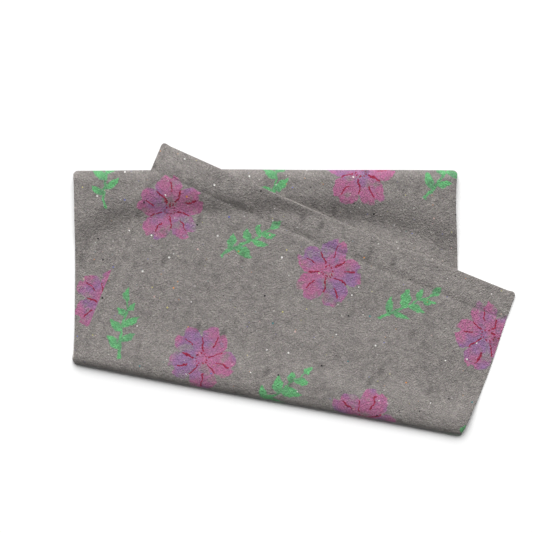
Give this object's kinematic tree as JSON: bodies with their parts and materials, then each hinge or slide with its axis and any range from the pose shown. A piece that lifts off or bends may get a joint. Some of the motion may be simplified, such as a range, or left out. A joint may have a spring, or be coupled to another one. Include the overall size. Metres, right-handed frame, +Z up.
{
  "type": "folded tea towel",
  "caption": "Hemmed cotton tea towel folded in three and laid flat, its front flap folded up askew so the end hem crosses the top fold.",
  "frame": {"origin": "on the surface that the folded towel lies on, under the middle of its bounding box", "axes": "+X along the straight top fold, to the right as seen from the front; +Y away from the askew bottom fold, towards the top fold; +Z up"},
  "size_m": [0.5314, 0.3484, 0.0197],
  "materials": {
    "cloth": "matte grey cotton with a short nap, printed with scattered flowers, sprigs and specks"
  },
  "bodies": {
    "root": {"towel": "cloth"}
  },
  "joints": []
}
